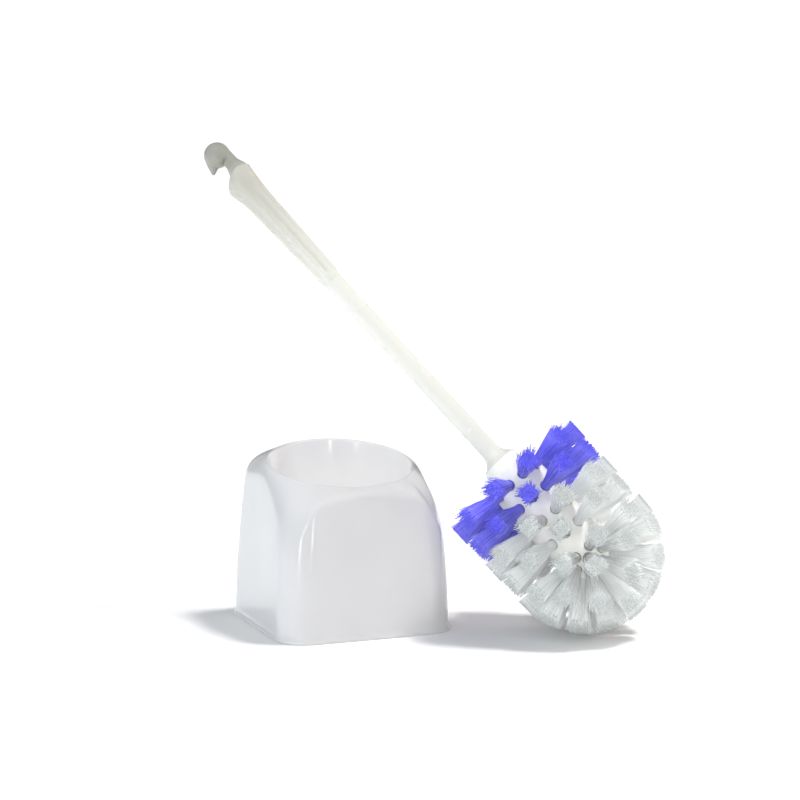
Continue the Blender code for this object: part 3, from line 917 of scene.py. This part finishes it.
def make_head(core_white, blue, clear):
    """The core and every tuft; each tuft of the domed end stands for the CAD sector that it lies in."""
    make_core(core_white)
    places = ring_places()
    blue_count = BLUE_RINGS * TUFTS_PER_RING
    for number, place in enumerate(places[:blue_count], start=1):
        tuft = make_bristles(f"blue_bristles_{number:02d}", place, TIP_RADIUS, TIP_HALF_WIDTH, False,
                             blue, seed=number, wild=BLUE_WILD)
        on_brush(tuft, "blue_bristle", f"blue_tuft_{number:02d}")
    for number, place in enumerate(places[blue_count:], start=1):
        tuft = make_bristles(f"clear_bristles_{number:02d}", place, TIP_RADIUS, TIP_HALF_WIDTH, False,
                             clear, seed=100 + number, wild=CLEAR_WILD)
        on_brush(tuft, "clear_bristle", f"clear_tuft_{number:02d}")
    for number, place in enumerate(end_places(), start=1):
        tuft = make_bristles(f"end_bristles_{number:02d}", place, END_TIP_RADIUS, END_TIP_HALF_WIDTH, True,
                             clear, seed=200 + number, wild=CLEAR_WILD)
        sector = round((place[1] + math.pi / 2) * END_GROUPS / (2 * math.pi)) % END_GROUPS
        on_brush(tuft, "clear_bristle", f"end_tufts_{sector + 1}")


# ---------------------------------------------------------------- stage


def make_floor():
    """A pale floor that runs far behind the object."""
    half = 20.0
    verts = [(-half, -half, 0), (half, -half, 0), (half, half, 0), (-half, half, 0)]
    floor = mesh_object("floor", verts, [(0, 1, 2, 3)], floor_material())
    floor.location.z = -0.0001


def area_light(name, location, size, power):
    """A rectangular lamp that faces the middle of the holder."""
    data = bpy.data.lights.new(name, "AREA")
    data.shape = "RECTANGLE"
    data.size, data.size_y = size
    data.energy = power
    light = bpy.data.objects.new(name, data)
    bpy.context.scene.collection.objects.link(light)
    light.location = location
    aim = Vector((0.0, 0.0, 0.06)) - Vector(location)
    light.rotation_euler = aim.to_track_quat("-Z", "Y").to_euler()
    return light


def side_fill(name, location, size, power, colour):
    """A tinted lamp that draws no highlight of its own."""
    light = area_light(name, location, size, power)
    light.data.color = colour
    light.visible_glossy = False


def make_world():
    """Soft surround, brighter and cooler towards the front left; the camera sees it as plain white."""
    world = bpy.data.worlds.new("studio")
    bpy.context.scene.world = world
    world.use_nodes = True
    nodes, links = world.node_tree.nodes, world.node_tree.links
    coordinates = nodes.new("ShaderNodeTexCoord")
    facing = nodes.new("ShaderNodeVectorMath")
    facing.operation = "DOT_PRODUCT"
    facing.inputs[1].default_value = BRIGHT_SIDE
    glow = nodes.new("ShaderNodeMapRange")
    glow.inputs["From Min"].default_value = -0.15
    glow.inputs["To Min"].default_value = DIM_SURROUND
    glow.inputs["To Max"].default_value = BRIGHT_SURROUND
    tint = nodes.new("ShaderNodeMix")
    tint.data_type = "RGBA"
    tint.inputs[6].default_value = (*WARM_WHITE, 1.0)
    tint.inputs[7].default_value = (*COOL_WHITE, 1.0)
    surround = nodes["Background"]
    white = nodes.new("ShaderNodeBackground")
    white.inputs["Color"].default_value = (1.0, 1.0, 1.0, 1.0)
    seen = nodes.new("ShaderNodeLightPath")
    mix = nodes.new("ShaderNodeMixShader")
    links.new(coordinates.outputs["Generated"], facing.inputs[0])
    links.new(facing.outputs["Value"], glow.inputs["Value"])
    links.new(glow.outputs["Result"], surround.inputs["Strength"])
    links.new(facing.outputs["Value"], tint.inputs[0])
    links.new(tint.outputs[2], surround.inputs["Color"])
    links.new(seen.outputs["Is Camera Ray"], mix.inputs["Fac"])
    links.new(surround.outputs["Background"], mix.inputs[1])
    links.new(white.outputs["Background"], mix.inputs[2])
    links.new(mix.outputs["Shader"], nodes["World Output"].inputs["Surface"])


def sun_light(name, towards, energy, degrees):
    """A distant lamp that lights softly and draws no highlight of its own."""
    data = bpy.data.lights.new(name, "SUN")
    data.energy = energy
    data.angle = math.radians(degrees)
    light = bpy.data.objects.new(name, data)
    light.rotation_euler = (-towards).to_track_quat("-Z", "Y").to_euler()
    light.visible_glossy = False
    bpy.context.scene.collection.objects.link(light)


def make_lights():
    """A soft sun overhead, fills from the camera's side, right and left, and bars that draw streaks."""
    up = Vector((0, 0, 1))
    sun_light("overhead", up - 0.06 * TOWARDS_CAMERA + 0.42 * PICTURE_RIGHT, energy=2.56, degrees=12)
    sun_light("camera_fill", TOWARDS_CAMERA + 0.24 * up, energy=1.00, degrees=15)
    side_fill("warm_right", (1.40, 0.10, 0.38), size=(0.6, 0.6), power=9.0, colour=(1.0, 0.92, 0.87))
    side_fill("cool_left", (-1.35, 0.25, 0.22), size=(0.8, 0.4), power=4.6, colour=(0.72, 0.86, 1.0))
    area_light("window_bar_1", (-0.92, -0.93, 0.20), size=(0.10, 0.40), power=1.0)
    area_light("window_bar_2", (-0.06, -1.30, 0.07), size=(0.09, 0.13), power=0.3)
    make_cup_lamp()


def make_cup_lamp():
    """A weak lamp in the cup; it stands for the daylight that soaks through the thin white wall."""
    data = bpy.data.lights.new("cup_lamp", "POINT")
    data.energy = 0.048
    data.shadow_soft_size = 0.012
    lamp = bpy.data.objects.new("cup_lamp", data)
    lamp.location = (0, -0.004, 0.070)
    lamp.visible_camera = False
    lamp.visible_glossy = False
    bpy.context.scene.collection.objects.link(lamp)


def make_camera():
    data = bpy.data.cameras.new("camera")
    data.lens = CAMERA_LENS
    data.sensor_width = 36.0
    camera = bpy.data.objects.new("camera", data)
    bpy.context.scene.collection.objects.link(camera)
    back = Vector((
        math.sin(CAMERA_AZIMUTH) * math.cos(CAMERA_ELEVATION),
        -math.cos(CAMERA_AZIMUTH) * math.cos(CAMERA_ELEVATION),
        math.sin(CAMERA_ELEVATION),
    ))
    camera.location = CAMERA_AIM + back * CAMERA_DISTANCE
    camera.rotation_euler = (-back).to_track_quat("-Z", "Y").to_euler()
    bpy.context.scene.camera = camera


make_holder(holder_plastic())
# The handle's pieces carry painted shade, darker towards the grip's top and darker still at the hook.
make_shaft(handle_plastic("shaft_plastic", PALE, PAINTED_SHADE_TONE, GRIP_SHADE_HEIGHTS))
make_grip(handle_plastic("grip_plastic", PALE, PAINTED_SHADE_TONE, GRIP_SHADE_HEIGHTS))
make_hook(handle_plastic("hook_plastic", PAINTED_SHADE_TONE, PAINTED_DEEP_SHADE_TONE, HOOK_SHADE_HEIGHTS))
make_head(core_plastic(), blue_bristle(), clear_bristle())
make_floor()
make_world()
make_lights()
make_camera()
bpy.context.scene.view_settings.view_transform = "Standard"
